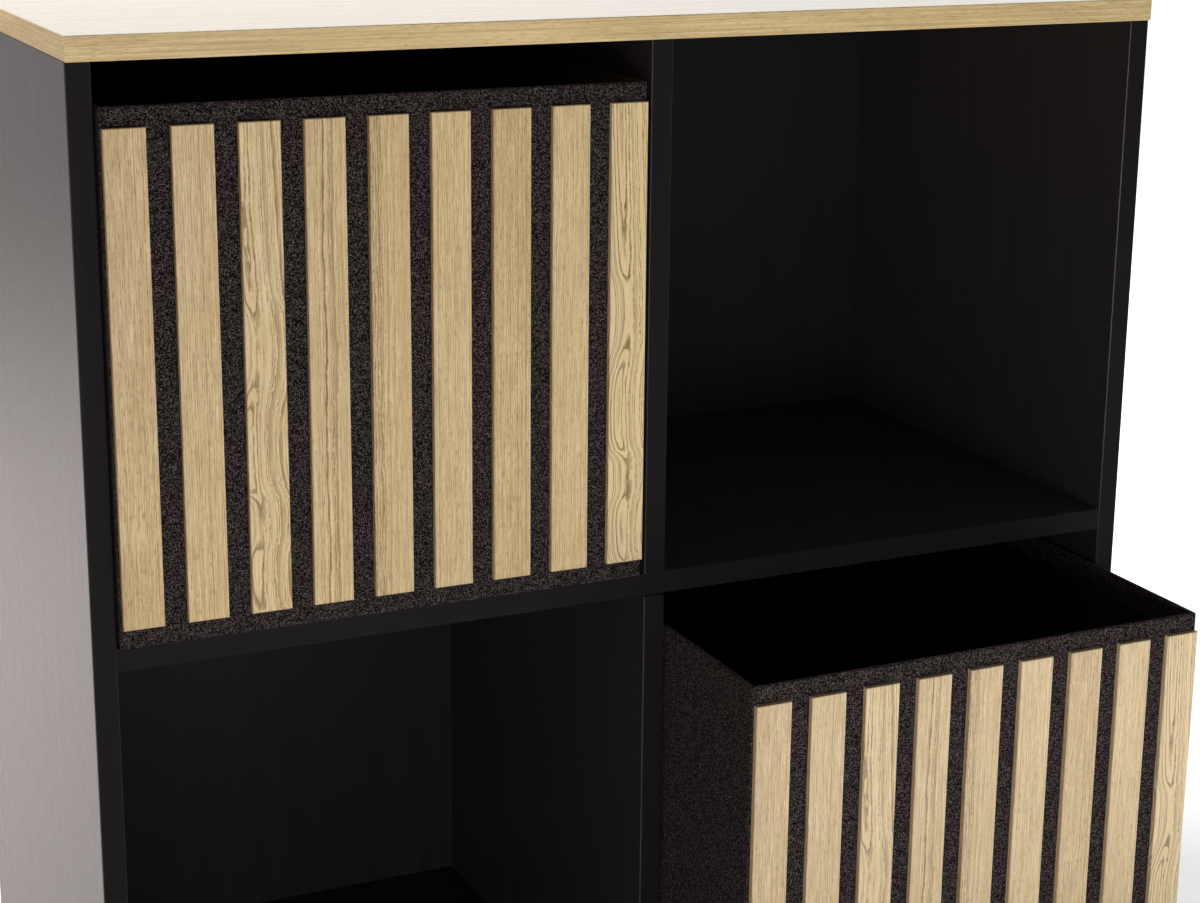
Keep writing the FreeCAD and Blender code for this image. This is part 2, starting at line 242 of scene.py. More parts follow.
def black_foil(node, axes, seed, satin=1.0, painted_light_gain=1.0):
    """Satin black foil with a matt edge band on the front. The printed grain is a shade lighter,
    and its pores are pressed in. The foil's colour is multiplied by a gain, which is painted light
    where it is more than one: it draws the uprights lighter than the shelf and the bottom."""
    values = {"Specular_IOR_Level": 0.05, "Coat_Roughness": 0.27, "Coat_IOR": 1.5}
    mat, tree, shader = material(f"black foil {node}", **values)
    place = along_grain(tree, middle_of(node), *axes)
    inputs = {
        "Place": place,
        "Pith Across": 0.05,
        "Pith Depth": 0.09,
        "Ring Width": 0.0085,
        "Waver": 0.009,
        "Seed": seed,
    }
    grain = put(tree, WOOD_GRAIN, inputs)
    cloud = between(tree, grain["Cloud"], 0.3, 0.7)
    # Painted light: the gain lightens the foil's dark and light alike, and is above one on the uprights.
    dark = (0.0086 * painted_light_gain, 0.0072 * painted_light_gain, 0.0076 * painted_light_gain, 1)
    light = (0.0132 * painted_light_gain, 0.0111 * painted_light_gain, 0.0117 * painted_light_gain, 1)
    colour = blended(tree, calc(tree, "MULTIPLY", grain["Rings"], 0.6), dark, light)
    colour = blended(tree, calc(tree, "MULTIPLY", cloud, 0.4), colour, light)
    behind = [FRONT + value for value in BAND_FADES]
    face = between(tree, axis(tree, own_place(tree), "Y"), *behind)
    tree.links.new(blended(tree, face, EDGE_BAND, colour), shader["Base Color"])
    streaks = noise(tree, place, (160, 160, 3), seed + 2.0, 3.0)
    rough = calc(tree, "MULTIPLY_ADD", grain["Rings"], 0.05, between(tree, streaks, 0.3, 0.7, 0.5, 0.6))
    tree.links.new(rough, shader["Roughness"])
    sheen = between(tree, streaks, 0.3, 0.7, 0.54 * satin, 0.6 * satin)
    tree.links.new(calc(tree, "MULTIPLY", face, sheen), shader["Coat Weight"])
    height = calc(tree, "SUBTRACT", calc(tree, "MULTIPLY", streaks, 0.6), grain["Pores"])
    tree.links.new(bumped(tree, height, 0.000012), shader["Normal"])
    return mat


# The uprights get a gain of 2.5. This is painted light that makes the walls of the cubes lighter than
# their floors, which keep the foil's own colour.
for seed, name in enumerate(("left_side", "right_side", "upper_divider", "lower_divider")):
    dress(name, black_foil(name, ("Y", "X", "Z"), 1.9 + 0.7 * seed, 1.0, 2.5))
for seed, name in enumerate(("bottom_panel", "middle_shelf")):
    dress(name, black_foil(name, ("Y", "Z", "X"), 8.3 + 0.7 * seed))


# The back panel.
# Thin hardboard in printed black paper, slid into a groove that runs round the carcass.

dress("back_panel", black_foil("back_panel", ("X", "Y", "Z"), 12.4, 0.1))


# The top.
# Particle board in pale oak foil, with a matching edge band. It lies over the two sides and
# stands a little in front of them.


def oak_foil():
    """Oak print with long, fine grain from left to right. The bands of the two ends have theirs
    from front to back."""
    mat, tree, shader = material("oak foil", Specular_IOR_Level=0.25, Coat_Roughness=0.14, Coat_IOR=1.6)
    low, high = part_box("top_panel")
    middle = middle_of("top_panel")
    sheet = along_grain(tree, middle, "Y", "Z", "X")
    band = along_grain(tree, middle, "X", "Z", "Y")
    sideways = calc(tree, "ABSOLUTE", axis(tree, sheet, "Z"))
    end = calc(tree, "GREATER_THAN", sideways, (high[0] - low[0]) / 2 - 0.0002)
    place = add(tree, "Mix", {0: end, 4: sheet, 5: band}, data_type="VECTOR").outputs[1]
    inputs = {
        "Place": place,
        "Pith Across": 0.31,
        "Pith Depth": 0.05,
        "Ring Width": 0.0031,
        "Waver": 0.002,
        "Seed": 4.4,
    }
    grain = put(tree, WOOD_GRAIN, inputs)
    pale, ring, pore = (0.79, 0.61, 0.325, 1), (0.43, 0.29, 0.115, 1), (0.3, 0.19, 0.07, 1)
    lines = noise(tree, place, (950, 950, 6), 2.2, 3.0, 0.7)
    colour = blended(tree, between(tree, lines, 0.42, 0.7, 0.0, 0.9), pale, ring)
    colour = blended(tree, calc(tree, "MULTIPLY", grain["Rings"], 0.25), colour, ring)
    colour = blended(tree, calc(tree, "MULTIPLY", grain["Pores"], 0.4), colour, pore)
    cloud = between(tree, grain["Cloud"], 0.35, 0.7)
    colour = blended(tree, calc(tree, "MULTIPLY", cloud, 0.25), colour, ring)
    tree.links.new(colour, shader["Base Color"])
    tree.links.new(between(tree, grain["Streaks"], 0, 1, 0.4, 0.5), shader["Roughness"])
    level = axis(tree, own_place(tree), "Z")
    tree.links.new(between(tree, level, high[2] - 0.0004, high[2] - 0.0001), shader["Coat Weight"])
    height = calc(tree, "MULTIPLY", calc(tree, "ADD", grain["Streaks"], grain["Pores"]), -0.5)
    tree.links.new(bumped(tree, height, 0.00001), shader["Normal"])
    return mat


dress("top_panel", oak_foil())


# The dowels.
# Fluted beech pegs, glued into bores between the panels.


def beech():
    """Bare beech: pinkish brown with short dark flecks along the peg."""
    mat, tree, shader = material("bare beech", Roughness=0.62)
    place = own_place(tree)
    fleck = noise(tree, place, (900, 900, 900), 1.0, 4.0, 0.7)
    pale, brown = (0.6, 0.43, 0.27, 1), (0.4, 0.25, 0.14, 1)
    colour = blended(tree, between(tree, fleck, 0.4, 0.7), pale, brown)
    tree.links.new(colour, shader["Base Color"])
    tree.links.new(bumped(tree, fleck, 0.0001), shader["Normal"])
    return mat


BEECH = beech()
for name in ("top_dowels", "shelf_dowels", "bottom_dowels", "lower_divider_dowels"):
    dress(name, BEECH)


# The cams, their bolts and the divider screws.
# Die-cast zinc cams turned tight on the heads of plated bolts, and countersunk steel screws.


def plated(name, tint, roughness):
    """Dull plated metal with a cast skin: fine pits and cloudy patches."""
    mat, tree, shader = material(name, Metallic=1.0)
    place = own_place(tree)
    cloud = noise(tree, place, (260, 260, 260), 2.0, 3.0)
    pits = noise(tree, place, (2600, 2600, 2600), 6.0, 2.0)
    shaded = tuple(0.72 * value for value in tint) + (1,)
    colour = blended(tree, between(tree, cloud, 0.35, 0.65), tint + (1,), shaded)
    tree.links.new(colour, shader["Base Color"])
    tree.links.new(between(tree, cloud, 0.3, 0.7, roughness, roughness + 0.14), shader["Roughness"])
    tree.links.new(bumped(tree, pits, 0.00008), shader["Normal"])
    return mat


CAST_ZINC = plated("cast zinc", (0.55, 0.55, 0.56), 0.42)
PLATED_STEEL = plated("plated steel", (0.6, 0.6, 0.61), 0.28)
for name in ("shelf_cams", "bottom_cams"):
    dress(name, CAST_ZINC)
for name in ("shelf_cam_bolts", "bottom_cam_bolts", "upper_divider_screws"):
    dress(name, PLATED_STEEL)


# The floor pads.
# Strips of pressed black felt, stuck under the ends of the sides.


def felt():
    """Pressed felt: matted short fibres, nearly black."""
    values = {"Roughness": 0.95, "Specular_IOR_Level": 0.2, "Sheen_Weight": 0.3}
    mat, tree, shader = material("pressed felt", **values)
    place = own_place(tree)
    fibres = noise(tree, place, (1500, 1500, 1500), 0.0, 5.0, 0.7)
    dark, light = (0.018, 0.018, 0.019, 1), (0.06, 0.058, 0.058, 1)
    colour = blended(tree, between(tree, fibres, 0.35, 0.7), dark, light)
    tree.links.new(colour, shader["Base Color"])
    tree.links.new(bumped(tree, fibres, 0.0006), shader["Normal"])
    return mat


dress("floor_pads", felt())


# The outer cloth of the bins.
# One skin of flecked charcoal canvas, pulled tight over the boards, turned in over the rim and
# stitched down inside as a hem. A seam crosses the front at the foot of the slats.

BINS = ("upper_bin", "lower_bin")
BIN_WALL = 0.0034
COVER_CORNER = 0.0022
COVER_FOOT = 0.0007
COVER_CLOTH = 0.0004
COVER_SLACK = 0.00016
LEAST_CORNER = 0.0012
HEM_DEPTH = 0.02
HEM_GAP = 0.0001
SEAM_HEIGHT = 0.0128
SEAM_DIP = 0.00045
SEAM_WIDTH = 0.00035
CORNER_STEPS = 8
SIDE_STEPS = 56


def bin_size(bin_name):
    """The level of a bin's foot, its centre, half of its width and depth, and its height."""
    low, high = (np.array(corner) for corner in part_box(f"{bin_name}_cover"))
    return low[2], (low + high) / 2, (high - low)[:2] / 2, high[2] - low[2]


def square_path():
    """A square loop with round corners, as a place on the square from -1 to 1 and an outward
    normal. The place runs along the sides while the normal holds, and the normal turns through a
    quarter circle at each corner while the place holds."""
    run = np.linspace(-1, 1, SIDE_STEPS, endpoint=False)
    turn = np.linspace(0, math.pi / 2, CORNER_STEPS, endpoint=False)
    places, normals = [], []
    for quarter in range(4):
        start = -math.pi / 2 + quarter * math.pi / 2
        ahead = np.array([-math.sin(start), math.cos(start)])
        out = np.array([math.cos(start), math.sin(start)])
        places.append(out + run[:, None] * ahead)
        normals.append(np.tile(out, (SIDE_STEPS, 1)))
        places.append(np.tile(out + ahead, (CORNER_STEPS, 1)))
        normals.append(np.stack([np.cos(start + turn), np.sin(start + turn)], -1))
    return np.concatenate(places), np.concatenate(normals)


def walls(half, profile, corner, push):
    """A loop of wall. Point (i, j) is place_i * (half - inset_j - radius_j) + normal_i * radius_j,
    at height_j, where the corner's radius shrinks as the wall is drawn in. push adds a small
    movement along the normal."""
    places, normals = square_path()
    inset, height = profile[:, 0], profile[:, 1]
    radius = np.maximum(corner - inset, LEAST_CORNER)
    room = half[None, None, :] - (inset + radius)[:, None, None]
    flat = places[None] * room + normals[None] * radius[:, None, None]
    flat = flat + normals[None] * push(places, normals, inset, height)[..., None]
    level = np.broadcast_to(height[:, None, None], flat.shape[:2] + (1,))
    return np.concatenate([flat, level], -1)


def loop_faces(rows, across):
    """The numbers of the points in rows that close into loops, and the faces between the rows."""
    index = np.arange(rows * across).reshape(rows, across)
    beside = np.roll(index, -1, 1)
    return index, np.stack([index[:-1], beside[:-1], beside[1:], index[1:]], -1).reshape(-1, 4)


def smooth(mesh):
    """Lets the light run smoothly over a new mesh's faces."""
    mesh.polygons.foreach_set("use_smooth", [True] * len(mesh.polygons))
    mesh.update()
    return mesh


def cloth_mesh(name, points, floor_first):
    """A mesh from rows of points that close into loops, with a floor across the first or the last
    row. Its map follows the cloth in metres, round the loop and along the rows."""
    rows, across = points.shape[:2]
    index, quads = loop_faces(rows, across)
    floor = index[0, ::-1] if floor_first else index[-1]
    mesh = bpy.data.meshes.new(name)
    mesh.from_pydata(points.reshape(-1, 3).tolist(), [], quads.tolist() + [floor.tolist()])
    step = np.linalg.norm(np.roll(points, -1, 1) - points, axis=-1).max(0)
    round_loop = np.concatenate([[0], np.cumsum(step)])
    rise = np.linalg.norm(np.diff(points, axis=0), axis=-1).max(1)
    along = np.concatenate([[0], np.cumsum(rise)])
    row, column = np.divmod(quads.ravel(), across)
    far_side = np.tile([False, True, True, False], len(quads))
    column = np.where(far_side & (column == 0), across, column)
    walls_map = np.stack([round_loop[column], along[row]], -1)
    floor_map = points.reshape(-1, 3)[floor][:, :2] + 3.0
    layer = mesh.uv_layers.new(name="cloth")
    layer.data.foreach_set("uv", np.concatenate([walls_map, floor_map]).astype(np.float32).ravel())
    return smooth(mesh)


def arc(centre, radius, start, end, steps):
    """Points (inset, height) on an arc, its angles in degrees from straight down the inset axis."""
    turn = np.radians(np.linspace(start, end, steps))
    return np.stack([centre[0] - radius * np.cos(turn), centre[1] + radius * np.sin(turn)], -1)


def placed(name, data):
    """A new object in the scene."""
    made = bpy.data.objects.new(name, data)
    bpy.context.scene.collection.objects.link(made)
    return made


def piece(name, mesh, centre, level, body, mat):
    """An object from a mesh that is moved to its place, riding on a body."""
    mesh.transform(Matrix.Translation((centre[0], centre[1], level)))
    made = placed(name, mesh)
    made.data.materials.append(mat)
    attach(made, body)
    return made


def drawn(tree, x, y, z):
    """A random number from 0 to 1 for each cell that three whole numbers name."""
    inputs = {"Vector": joined(tree, x, y, z)}
    return add(tree, "TexWhiteNoise", inputs, noise_dimensions="3D").outputs["Value"]


def thicken(made, thickness):
    """Gives a skin its thickness, on its inner side."""
    cloth = made.modifiers.new("cloth", "SOLIDIFY")
    cloth.thickness, cloth.offset = thickness, -1


def canvas_weave():
    """Plain weave. Across a thread its height is half a sine wave, and along it the thread rises
    over one neighbour and dips under the next. Each crossing has a shade of its own, and so has
    each short length of thread."""
    values = {"Place": None, "Thread": 0.0008, "Seed": 0.0}
    tree, given, made = effect("Canvas weave", values, ("Height", "Shade"))
    axes = add(tree, "SeparateXYZ", {0: given["Place"]}).outputs
    u = calc(tree, "DIVIDE", axes[0], given["Thread"])
    v = calc(tree, "DIVIDE", axes[1], given["Thread"])
    column, row = calc(tree, "FLOOR", u), calc(tree, "FLOOR", v)
    heights, shades = [], []
    for over, along, count, seed in ((u, v, column, 0.0), (v, u, calc(tree, "ADD", row, 1.0), 40.0)):
        round_thread = calc(tree, "SINE", calc(tree, "MULTIPLY", calc(tree, "FRACT", over), math.pi))
        lift = calc(tree, "SINE", calc(tree, "MULTIPLY", calc(tree, "ADD", along, count), math.pi))
        heights.append(calc(tree, "MULTIPLY", round_thread, calc(tree, "MULTIPLY_ADD", lift, 0.5, 0.5)))
        length = calc(tree, "FLOOR", calc(tree, "MULTIPLY", along, 0.3))
        seeded = calc(tree, "ADD", given["Seed"], seed)
        shades.append(drawn(tree, calc(tree, "FLOOR", over), length, seeded))
    upper = calc(tree, "GREATER_THAN", *heights)
    yarn = calc(tree, "ADD", shades[1], calc(tree, "MULTIPLY", upper, calc(tree, "SUBTRACT", *shades)))
    crossing = drawn(tree, column, row, calc(tree, "ADD", given["Seed"], 90.0))
    height = calc(tree, "MAXIMUM", *heights)
    tree.links.new(height, made["Height"])
    shade = calc(tree, "MULTIPLY_ADD", yarn, 0.2, calc(tree, "MULTIPLY", crossing, 0.8))
    tree.links.new(shade, made["Shade"])
    return tree


CANVAS_WEAVE = canvas_weave()


def canvas(name, dark, light, thread, seed):
    """Matt cloth woven from mottled yarn, with painted shade that makes it darkest in the hollows
    between its threads.
    """
    mat, tree, shader = material(name, Roughness=0.92, Specular_IOR_Level=0.06)
    place = add(tree, "TexCoord").outputs["UV"]
    weave = put(tree, CANVAS_WEAVE, {"Place": place, "Thread": thread, "Seed": seed})
    fleck = calc(tree, "POWER", between(tree, weave["Shade"], 0.08, 0.95), 2.9)
    # Painted shade: the flecks fade toward the dark colour where the threads sink into their hollows.
    flecks_and_hollow_shade = calc(tree, "MULTIPLY", fleck, between(tree, weave["Height"], 0.1, 0.75, 0.25, 1.0))
    tree.links.new(blended(tree, flecks_and_hollow_shade, dark, light), shader["Base Color"])
    tree.links.new(bumped(tree, weave["Height"], 0.0003, 0.8), shader["Normal"])
    return mat


CHARCOAL, FLECK = (0.0032, 0.0012, 0.0013, 1), (0.195, 0.154, 0.154, 1)
COVER_CANVAS = canvas("flecked canvas", CHARCOAL, FLECK, 0.00066, 1.0)


def cover(bin_name, seed):
    """The outer cloth: a floor, a rounded foot, the walls, a round rim and the hem inside."""
    level, centre, half, tall = bin_size(bin_name)
    rim = BIN_WALL / 2
    seam = SEAM_HEIGHT + np.array([-0.0011, -0.0006, -0.0003, 0.0, 0.0003, 0.0006, 0.0011])
    rows = np.concatenate([[0.003, 0.0075], seam, np.linspace(0.02, tall - 0.004, 34)])
    wall = np.stack([np.zeros_like(rows), rows], -1)
    foot = arc((COVER_FOOT, COVER_FOOT), COVER_FOOT, -90, 0, 5)
    over = arc((rim, tall - rim), rim, 0, 180, 13)
    hem = np.array([[BIN_WALL + HEM_GAP, tall - d] for d in (0.004, 0.009, 0.014, 0.018, HEM_DEPTH)])
    edge = tall - HEM_DEPTH
    end = np.array([[BIN_WALL + 0.0002, edge - 0.0006], [BIN_WALL - 0.0003, edge - 0.001]])
    profile = np.concatenate([foot, wall, over, hem, end])

    def push(places, normals, inset, height):
        """A slack of under half a millimetre in the side walls, none where the slats lie, and a
        sharp dip at the seam of the front."""
        front = np.clip(-normals[:, 1], 0, 1) ** 4
        sides = np.abs(normals[:, 0]) ** 4 + np.clip(normals[:, 1], 0, 1) ** 4
        taut = (1 - places[:, 0] ** 2 * places[:, 1] ** 2) * sides
        up = height[:, None] / tall
        wave = np.sin(9 * places[:, 0] + 7 * places[:, 1] + seed + 5 * up)
        wave = wave + np.sin(4 * places[:, 1] - 11 * up)
        slack = COVER_SLACK * wave * np.sin(np.pi * np.clip(up, 0, 1)) * taut[None]
        dip = -SEAM_DIP * np.exp(-(((height - SEAM_HEIGHT) / SEAM_WIDTH) ** 2))[:, None] * front[None]
        return (slack + dip) * (inset < rim)[:, None]

    points = walls(half, profile, COVER_CORNER, push)
    mesh = cloth_mesh(bin_name, points, True)
    made = piece(f"{bin_name}_cloth_cover", mesh, centre, level, bin_name, COVER_CANVAS)
    thicken(made, COVER_CLOTH)
    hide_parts(f"{bin_name}_cover")


for seed, name in enumerate(BINS):
    cover(name, 2.1 * seed)


# The stitches of the hem.
# Short lengths of charcoal thread in one row round the inside of the rim.

STITCH_LENGTH = 0.0026
STITCH_PITCH = 0.0034
STITCH_RADIUS = 0.00028
STITCH_RISE = 0.0035
STITCH_POINTS = 6


def thread_stitches(bin_name):
    """A row of stitches just above the hem's edge. Each is a low six-sided spindle whose radius is
    half a sine wave along its length, half sunk in the hem."""
    level, centre, half, tall = bin_size(bin_name)
    inner = half - BIN_WALL - HEM_GAP
    along, turn = np.linspace(0, 1, STITCH_POINTS), np.arange(STITCH_POINTS) * math.pi / 3
    bulge = STITCH_RADIUS * np.sin(math.pi * (0.06 + 0.88 * along))[:, None]
    length = np.repeat(STITCH_LENGTH * (along[:, None] - 0.5), STITCH_POINTS, 1)
    spindle = np.stack([length, bulge * np.cos(turn), bulge * np.sin(turn)], -1).reshape(-1, 3)
    places, headings = [], []
    for side in range(4):
        angle = side * math.pi / 2
        ahead = np.array([math.cos(angle), math.sin(angle)])
        out = np.array([ahead[1], -ahead[0]])
        reach = abs(ahead) @ inner - 0.003
        run = np.arange(-reach, reach, STITCH_PITCH)
        places.append(run[:, None] * ahead + out * (abs(out) @ inner))
        headings.append(np.tile(ahead, (run.size, 1)))
    places, ahead = np.concatenate(places), np.concatenate(headings)
    out = np.stack([ahead[:, 1], -ahead[:, 0]], -1)
    flat = places[:, None] + spindle[None, :, :1] * ahead[:, None] + spindle[None, :, 1:2] * out[:, None]
    height = np.broadcast_to(tall - HEM_DEPTH + STITCH_RISE + spindle[:, 2], flat.shape[:2])
    points = np.concatenate([flat, height[..., None]], -1).reshape(-1, 3)
    ring, quads = loop_faces(STITCH_POINTS, STITCH_POINTS)
    starts = len(spindle) * np.arange(len(places))
    faces = (quads[None] + starts[:, None, None]).reshape(-1, 4).tolist()
    faces += (ring[0, ::-1][None] + starts[:, None]).tolist()
    faces += (ring[-1][None] + starts[:, None]).tolist()
    mesh = bpy.data.meshes.new(f"{bin_name}_stitches")
    mesh.from_pydata(points.tolist(), [], faces)
    piece(f"{bin_name}_hem_stitches", smooth(mesh), centre, level, bin_name, THREAD)


def sewing_thread():
    """Twisted polyester thread: charcoal, with the twist as fine slanting ridges and painted shade in
    the hollows between them.
    """
    mat, tree, shader = material("sewing thread", Roughness=0.6)
    place = own_place(tree)
    inputs = {"Vector": place, "Scale": 900.0, "Distortion": 1.0}
    twist = add(tree, "TexWave", inputs, bands_direction="DIAGONAL").outputs[1]
    # Painted shade: the hollows of the twist are drawn darker than its ridges.
    hollow_shade, ridge = (0.02, 0.018, 0.018, 1), (0.07, 0.064, 0.064, 1)
    colour = blended(tree, twist, hollow_shade, ridge)
    tree.links.new(colour, shader["Base Color"])
    tree.links.new(bumped(tree, twist, 0.0001), shader["Normal"])
    return mat


THREAD = sewing_thread()
for name in BINS:
    thread_stitches(name)


# The lining of the bins.
# Thin black cloth inside the boards. It runs up behind the hem and lies loose over the base.

LINING_CLOTH = 0.0003
LINING_CORNER = 0.0072
LINING_FOOT = 0.006
LINING_SLACK = 0.0007
LINING_TUCK = 0.0001


def lining(bin_name, seed):
    """Walls from behind the hem down to a soft curve at the foot, and a floor."""
    level, centre, half, tall = bin_size(bin_name)
    rows = np.linspace(tall - HEM_DEPTH + 0.004, 0.012, 30)
    wall = np.stack([np.full_like(rows, BIN_WALL - LINING_TUCK), rows], -1)
    turning = (BIN_WALL + LINING_FOOT - LINING_TUCK, BIN_WALL + LINING_FOOT)
    foot = arc(turning, LINING_FOOT, 0, -90, 8)
    inward = np.array([[BIN_WALL + d, BIN_WALL] for d in (0.012, 0.022, 0.036)])
    profile = np.concatenate([wall, foot, inward])

    def push(places, normals, inset, height):
        """Slack that draws the walls in by up to a millimetre and a half, least at the hem."""
        up = np.clip(1 - height[:, None] / (tall - HEM_DEPTH), 0, 1)
        taut = 1 - places[:, 0] ** 2 * places[:, 1] ** 2
        sway = np.sin(6 * places[:, 0] - 5 * places[:, 1] + seed + 4 * up)
        wave = 1.1 + sway * np.sin(3 * places[:, 1] + 6 * up)
        return -LINING_SLACK * wave * np.sin(np.pi * up) * taut[None]

    points = walls(half, profile, LINING_CORNER, push)[:, ::-1]
    mesh = cloth_mesh(bin_name, points, False)
    made = piece(f"{bin_name}_cloth_lining", mesh, centre, level, bin_name, LINING)
    thicken(made, LINING_CLOTH)
    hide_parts(f"{bin_name}_lining")


BLACK, DARK_FLECK = (0.0025, 0.002, 0.002, 1), (0.011, 0.0095, 0.0095, 1)
LINING = canvas("black lining", BLACK, DARK_FLECK, 0.0007, 7.0)
for seed, name in enumerate(BINS):
    lining(name, 1.3 * seed)


# The boards of the bins.
# Grey-brown fibre board between the cover and the lining: four walls and a loose base.


def fibre_board():
    """Pressed fibre board: matted short fibres in greys and browns."""
    mat, tree, shader = material("fibre board", Roughness=0.85)
    place = own_place(tree)
    fibres = noise(tree, place, (420, 420, 420), 0.0, 5.0, 0.75)
    brown, grey = (0.2, 0.15, 0.1, 1), (0.42, 0.34, 0.25, 1)
    colour = blended(tree, between(tree, fibres, 0.35, 0.65), brown, grey)
    tree.links.new(colour, shader["Base Color"])
    tree.links.new(bumped(tree, fibres, 0.0002), shader["Normal"])
    return mat


FIBRE_BOARD = fibre_board()
for name in BINS:
    for board in ("front", "back", "left", "right", "base"):
        dress(f"{name}_{board}_board", FIBRE_BOARD)


# The slats.
# Oak-veneered strips glued upright to the front of each bin, cut from the same run of veneer: five
# of straight grain, two streaky and two with arches. Those of the lower bin are mixed a tenth of the
# way to a pale grey, a painted veil of reflected light on the pulled-out bin.

STRAIGHT = {"Pith Across": 0.085, "Pith Depth": 0.03, "Ring Width": 0.0015, "Waver": 0.0006}
STREAKY = {
    "Pith Across": 0.03,
    "Pith Depth": 0.012,
    "Ring Width": 0.0018,
    "Line Width": 0.65,
    "Waver": 0.0028,
}
ARCHED = {"Ring Width": 0.0022, "Line Width": 0.4, "Waver": 0.0013}
# How deep the pith lies down the length of an arched strip, from 0 for least to 1.
ARCHES = (
    (0.0, 0.0),
    (0.2, 0.3),
    (0.34, 0.55),
    (0.4, 0.9),
    (0.45, 0.95),
    (0.55, 0.5),
    (0.66, 0.1),
    (0.74, 0.35),
    (0.79, 0.9),
    (0.83, 0.9),
    (0.9, 0.5),
    (0.95, 0.55),
    (1.0, 1.0),
)
# How far the pith of an arched strip sways across, and how deep it lies: at least, and how much
# more at most.
SWAY, LEAST_DEPTH, DEEPENING = 0.009, 0.0034, 0.0052
# Each slat: its grain, how strong its rings and its streaks are, how brown it is (where less than
# 0 is paler than the others), and a seed.
VENEER = (
    (STRAIGHT, 0.45, 1.0, 0.85, 0.3),
    (STRAIGHT, 0.65, 0.8, 0.3, 1.1),
    (ARCHED | {"Pith Across": -0.009}, 1.05, 0.5, 0.05, 9.3),
    (STREAKY | {"Bold Across": -0.001, "Bold Width": 0.0065}, 1.35, 0.65, 0.3, 3.2),
    (STREAKY | {"Bold Across": -0.0085, "Bold Width": 0.005}, 1.6, 0.7, 0.4, 4.4),
    (STRAIGHT | {"Pith Across": -0.085}, 0.5, 0.75, 0.1, 5.6),
    (STRAIGHT | {"Pith Across": 0.11}, 0.4, 0.9, 0.6, 6.4),
    (STRAIGHT | {"Pith Across": 0.07}, 0.55, 0.7, 0.05, 7.2),
    (ARCHED | {"Pith Across": -0.0028}, 1.25, 0.25, -0.2, 9.6),
)


def arched_pith(tree, place, node, middle):
    """The place of the pith down a strip, from a curve through the knots of its arches. The log is
    crooked, so where the pith is deeper it also lies further to the right."""
    low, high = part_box(node)
    half = (high[2] - low[2]) / 2
    along = axis(tree, place, "Z")
    curve = add(tree, "FloatCurve", {"Value": between(tree, along, half, -half)})
    points = curve.mapping.curves[0].points
    points[0].location, points[1].location = ARCHES[0], ARCHES[-1]
    for knot in ARCHES[1:-1]:
        points.new(*knot)
    curve.mapping.update()
    bend = curve.outputs[0]
    across = calc(tree, "MULTIPLY_ADD", bend, SWAY, middle - SWAY / 2)
    depth = calc(tree, "MULTIPLY_ADD", bend, DEEPENING, LEAST_DEPTH)
    return {"Pith Across": across, "Pith Depth": depth}


def oak_slat(node, values, rings, streaks, brown, seed, painted_veil):
    """Satin oak veneer. Rings, streaks and pores are darker than the wood, and the pores open. Last,
    the colour is mixed toward a pale grey by an amount: a painted veil of reflected light.
    """
    mat, tree, shader = material(f"oak {node}", Specular_IOR_Level=0.3)
    place = along_grain(tree, middle_of(node), "X", "Y", "Z")
    if "Pith Depth" not in values:
        values = values | arched_pith(tree, place, node, values["Pith Across"])
    grain = put(tree, WOOD_GRAIN, values | {"Place": place, "Seed": seed})
    pale, tan = (0.79, 0.618, 0.348, 1), (0.47, 0.315, 0.14, 1)
    ring, pore = (0.2, 0.12, 0.035, 1), (0.22, 0.13, 0.045, 1)
    veil_grey = (0.5, 0.5, 0.52, 1)
    cloud = between(tree, grain["Cloud"], 0.35, 0.65)
    tanned = calc(tree, "MULTIPLY_ADD", cloud, 0.2 + 0.3 * brown, 0.05 + 0.2 * brown)
    colour = blended(tree, tanned, pale, tan)
    colour = blended(tree, calc(tree, "MULTIPLY", grain["Streaks"], streaks), colour, tan)
    colour = blended(tree, calc(tree, "MULTIPLY", grain["Rings"], rings), colour, ring)
    colour = blended(tree, calc(tree, "MULTIPLY", grain["Pores"], 0.6 * streaks), colour, pore)
    # Painted reflection: the colour mixed toward a pale grey, as a veil of reflected light.
    colour = blended(tree, painted_veil, colour, veil_grey)
    tree.links.new(colour, shader["Base Color"])
    tree.links.new(between(tree, grain["Streaks"], 0, 1, 0.38, 0.48), shader["Roughness"])
    height = calc(tree, "MULTIPLY", calc(tree, "ADD", grain["Streaks"], grain["Pores"]), -0.5)
    tree.links.new(bumped(tree, height, 0.00003), shader["Normal"])
    return mat


# Only the lower bin's slats get the painted veil, a tenth of the way to pale grey.
for name, painted_veil in zip(BINS, (0.0, 0.1)):
    for number, facts in enumerate(VENEER, 1):
        slat = f"{name}_slat_{number}"
        dress(slat, oak_slat(slat, *facts, painted_veil))


# The floor and the light.
# A white floor in a white room. The main lamp is wide and stands low in front, a second lies on the
# floor before the unit, one hangs overhead, and three more light the floor on both sides and the back.

FLOOR_LEVEL = cad_box[0][2]
FLOOR_HALF = 14.0
ROOM_LIGHT = 0.08
WARM = (1, 0.9, 0.855)


def seen_directly(tree):
    """One for the rays that see a surface itself, or its mirror image, and not only its light."""
    path = add(tree, "LightPath").outputs
    mirrored = calc(tree, "MAXIMUM", path["Is Glossy Ray"], path["Is Transmission Ray"])
    return calc(tree, "MAXIMUM", path["Is Camera Ray"], mirrored)


